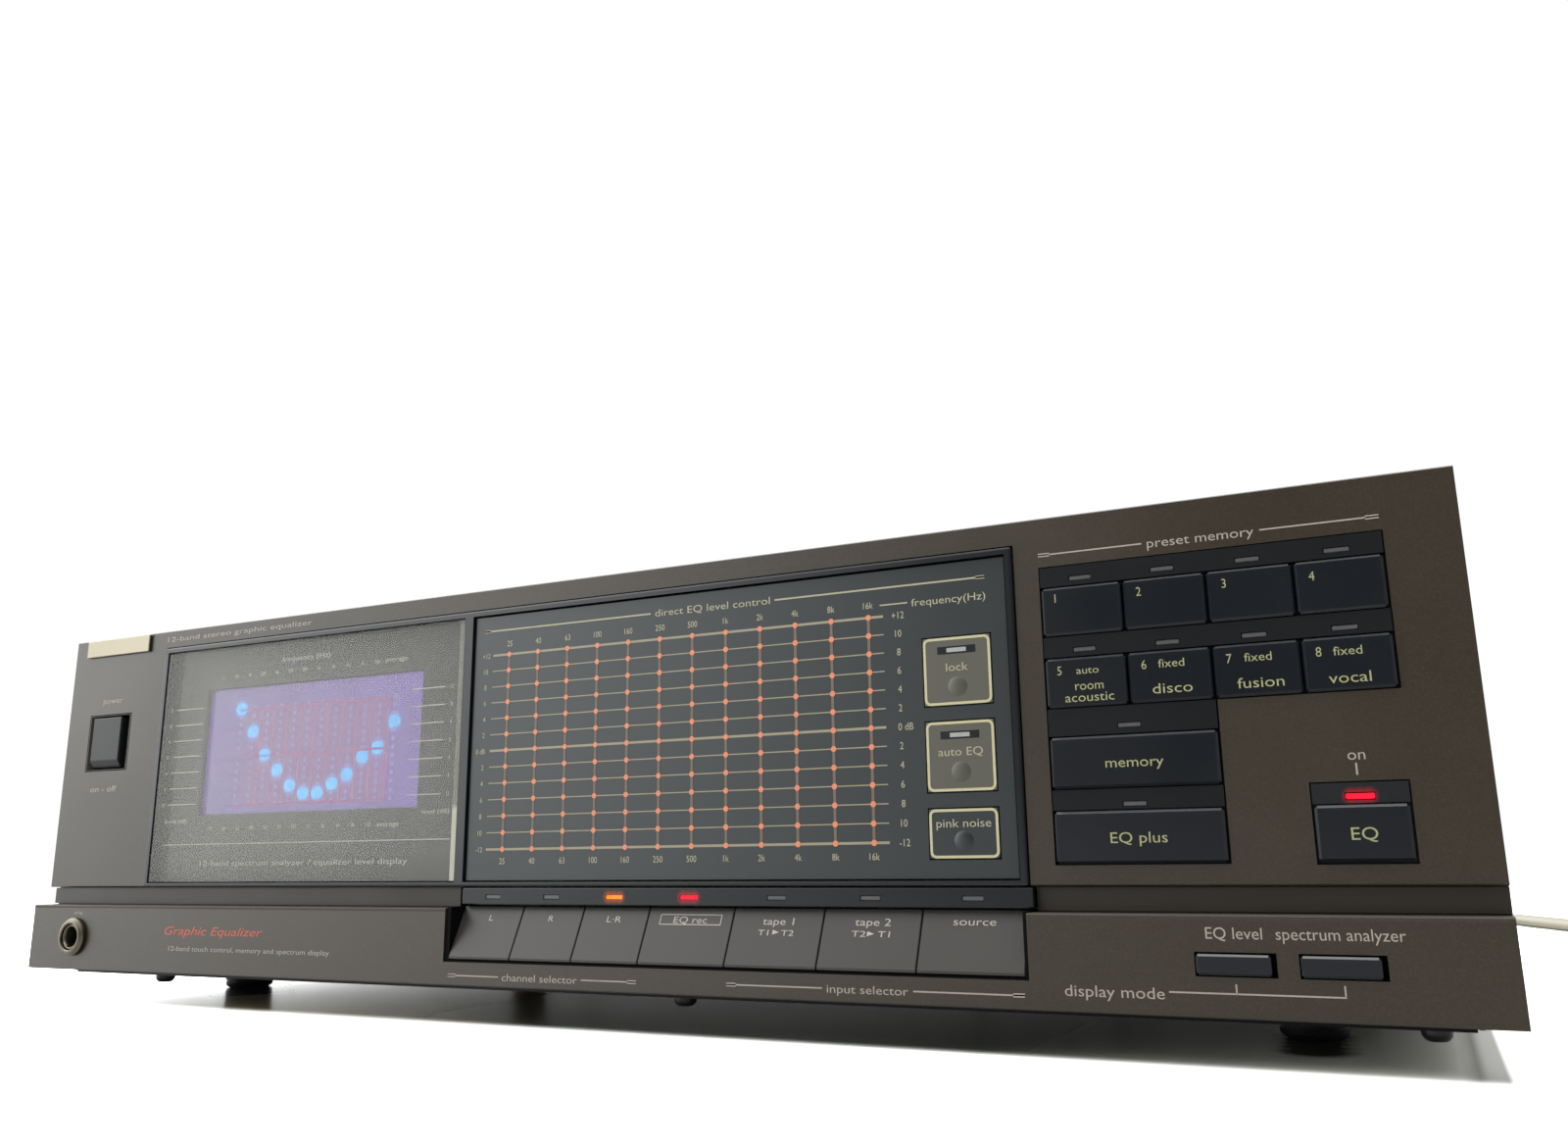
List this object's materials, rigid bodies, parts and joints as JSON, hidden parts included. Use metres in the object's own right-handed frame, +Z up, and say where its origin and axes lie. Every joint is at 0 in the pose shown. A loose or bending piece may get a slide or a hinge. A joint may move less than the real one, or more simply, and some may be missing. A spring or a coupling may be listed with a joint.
{
  "type": "graphic equalizer",
  "caption": "Full-width hi-fi graphic equalizer with a display window, a touch grid, preset and selector keys, a microphone jack and a coiled mains lead.",
  "frame": {"origin": "on the surface it stands on, under the centre of the box of the unit without its mains lead", "axes": "+X to the right along the front panel's width, +Y from the front panel to the rear, +Z up"},
  "size_m": [0.554, 0.6006, 0.1186],
  "materials": {
    "bronze_paint": "satin",
    "groove_moulding": "satin",
    "cover_paint": "fine textured satin",
    "plated_steel": "satin",
    "foot_rubber": "matte",
    "black_gloss": "gloss",
    "smoked_acrylic": "gloss",
    "black_matt": "matte",
    "display_glass": "gloss",
    "touch_film": "satin",
    "touch_key_film": "satin",
    "badge_metal": "brushed",
    "jack_black": "satin",
    "nickel": "gloss",
    "phenolic": "satin",
    "laminations": "varnished",
    "circuit_board": "satin",
    "cord_pvc": "satin",
    "key_black": "satin",
    "selector_grey": "satin"
  },
  "bodies": {
    "case": {"top_cover": "cover_paint", "bottom_chassis": "plated_steel", "rear_panel": "plated_steel", "foot_front_left": "foot_rubber", "foot_front_right": "foot_rubber", "foot_rear_left": "foot_rubber", "foot_rear_right": "foot_rubber", "upper_fascia": "bronze_paint", "lower_fascia": "bronze_paint", "front_frame": "groove_moulding", "window_bezel": "black_gloss", "display_window": "smoked_acrylic", "display_mask": "black_matt", "fl_display": "display_glass", "touch_panel": "touch_film", "preset_bezel": "black_matt", "eq_bezel": "black_matt", "power_bezel": "groove_moulding", "selector_well": "black_matt", "led_strip": "black_gloss", "badge": "badge_metal", "mic_jack": "jack_black", "mic_jack_nut": "nickel", "line_jack_block": "phenolic", "tape_jack_block": "phenolic", "power_transformer": "laminations", "main_board": "circuit_board", "front_board": "circuit_board", "power_switch": "jack_black", "strain_relief": "cord_pvc", "mains_cord": "cord_pvc", "cord_coil": "cord_pvc", "cord_tail": "cord_pvc", "plug": "cord_pvc"},
    "preset_key_1": {"preset_key_1": "key_black"},
    "preset_key_2": {"preset_key_2": "key_black"},
    "preset_key_3": {"preset_key_3": "key_black"},
    "preset_key_4": {"preset_key_4": "key_black"},
    "preset_key_5": {"preset_key_5": "key_black"},
    "preset_key_6": {"preset_key_6": "key_black"},
    "preset_key_7": {"preset_key_7": "key_black"},
    "preset_key_8": {"preset_key_8": "key_black"},
    "memory_key": {"memory_key": "key_black"},
    "eq_plus_key": {"eq_plus_key": "key_black"},
    "eq_key": {"eq_key": "key_black"},
    "channel_key_left": {"channel_key_left": "selector_grey"},
    "channel_key_right": {"channel_key_right": "selector_grey"},
    "channel_key_both": {"channel_key_both": "selector_grey"},
    "eq_rec_key": {"eq_rec_key": "selector_grey"},
    "tape_1_key": {"tape_1_key": "selector_grey"},
    "tape_2_key": {"tape_2_key": "selector_grey"},
    "source_key": {"source_key": "selector_grey"},
    "level_mode_button": {"level_mode_button": "key_black"},
    "analyzer_mode_button": {"analyzer_mode_button": "key_black"},
    "lock_key": {"lock_key": "touch_key_film"},
    "auto_eq_key": {"auto_eq_key": "touch_key_film"},
    "pink_noise_key": {"pink_noise_key": "touch_film"},
    "power_button": {"power_button": "key_black"}
  },
  "joints": [
    {"name": "preset_key_1_press", "type": "slide", "parent": "case", "child": "preset_key_1", "axis": [0, 1, 0], "range_m": [0, 0.0009], "stiffness_N_per_m": 400},
    {"name": "preset_key_2_press", "type": "slide", "parent": "case", "child": "preset_key_2", "axis": [0, 1, 0], "range_m": [0, 0.0009], "stiffness_N_per_m": 400},
    {"name": "preset_key_3_press", "type": "slide", "parent": "case", "child": "preset_key_3", "axis": [0, 1, 0], "range_m": [0, 0.0009], "stiffness_N_per_m": 400},
    {"name": "preset_key_4_press", "type": "slide", "parent": "case", "child": "preset_key_4", "axis": [0, 1, 0], "range_m": [0, 0.0009], "stiffness_N_per_m": 400},
    {"name": "preset_key_5_press", "type": "slide", "parent": "case", "child": "preset_key_5", "axis": [0, 1, 0], "range_m": [0, 0.0009], "stiffness_N_per_m": 400},
    {"name": "preset_key_6_press", "type": "slide", "parent": "case", "child": "preset_key_6", "axis": [0, 1, 0], "range_m": [0, 0.0009], "stiffness_N_per_m": 400},
    {"name": "preset_key_7_press", "type": "slide", "parent": "case", "child": "preset_key_7", "axis": [0, 1, 0], "range_m": [0, 0.0009], "stiffness_N_per_m": 400},
    {"name": "preset_key_8_press", "type": "slide", "parent": "case", "child": "preset_key_8", "axis": [0, 1, 0], "range_m": [0, 0.0009], "stiffness_N_per_m": 400},
    {"name": "memory_key_press", "type": "slide", "parent": "case", "child": "memory_key", "axis": [0, 1, 0], "range_m": [0, 0.0009], "stiffness_N_per_m": 400},
    {"name": "eq_plus_key_press", "type": "slide", "parent": "case", "child": "eq_plus_key", "axis": [0, 1, 0], "range_m": [0, 0.0009], "stiffness_N_per_m": 400},
    {"name": "eq_key_press", "type": "slide", "parent": "case", "child": "eq_key", "axis": [0, 1, 0], "range_m": [0, 0.0009], "stiffness_N_per_m": 400},
    {"name": "channel_key_left_press", "type": "slide", "parent": "case", "child": "channel_key_left", "axis": [0, 1, 0], "range_m": [0, 0.0012], "stiffness_N_per_m": 350},
    {"name": "channel_key_right_press", "type": "slide", "parent": "case", "child": "channel_key_right", "axis": [0, 1, 0], "range_m": [0, 0.0012], "stiffness_N_per_m": 350},
    {"name": "channel_key_both_press", "type": "slide", "parent": "case", "child": "channel_key_both", "axis": [0, 1, 0], "range_m": [0, 0.0012], "stiffness_N_per_m": 350},
    {"name": "eq_rec_key_press", "type": "slide", "parent": "case", "child": "eq_rec_key", "axis": [0, 1, 0], "range_m": [0, 0.0012], "stiffness_N_per_m": 350},
    {"name": "tape_1_key_press", "type": "slide", "parent": "case", "child": "tape_1_key", "axis": [0, 1, 0], "range_m": [0, 0.0012], "stiffness_N_per_m": 350},
    {"name": "tape_2_key_press", "type": "slide", "parent": "case", "child": "tape_2_key", "axis": [0, 1, 0], "range_m": [0, 0.0012], "stiffness_N_per_m": 350},
    {"name": "source_key_press", "type": "slide", "parent": "case", "child": "source_key", "axis": [0, 1, 0], "range_m": [0, 0.0012], "stiffness_N_per_m": 350},
    {"name": "level_mode_button_press", "type": "slide", "parent": "case", "child": "level_mode_button", "axis": [0, 1, 0], "range_m": [0, 0.001], "stiffness_N_per_m": 400},
    {"name": "analyzer_mode_button_press", "type": "slide", "parent": "case", "child": "analyzer_mode_button", "axis": [0, 1, 0], "range_m": [0, 0.001], "stiffness_N_per_m": 400},
    {"name": "lock_key_press", "type": "slide", "parent": "case", "child": "lock_key", "axis": [0, 1, 0], "range_m": [0, 0.00035], "stiffness_N_per_m": 1500},
    {"name": "auto_eq_key_press", "type": "slide", "parent": "case", "child": "auto_eq_key", "axis": [0, 1, 0], "range_m": [0, 0.00035], "stiffness_N_per_m": 1500},
    {"name": "pink_noise_key_press", "type": "slide", "parent": "case", "child": "pink_noise_key", "axis": [0, 1, 0], "range_m": [0, 0.00035], "stiffness_N_per_m": 1500},
    {"name": "power_button_push", "type": "slide", "parent": "case", "child": "power_button", "axis": [0, 1, 0], "range_m": [-0.003, 0.0006]}
  ]
}
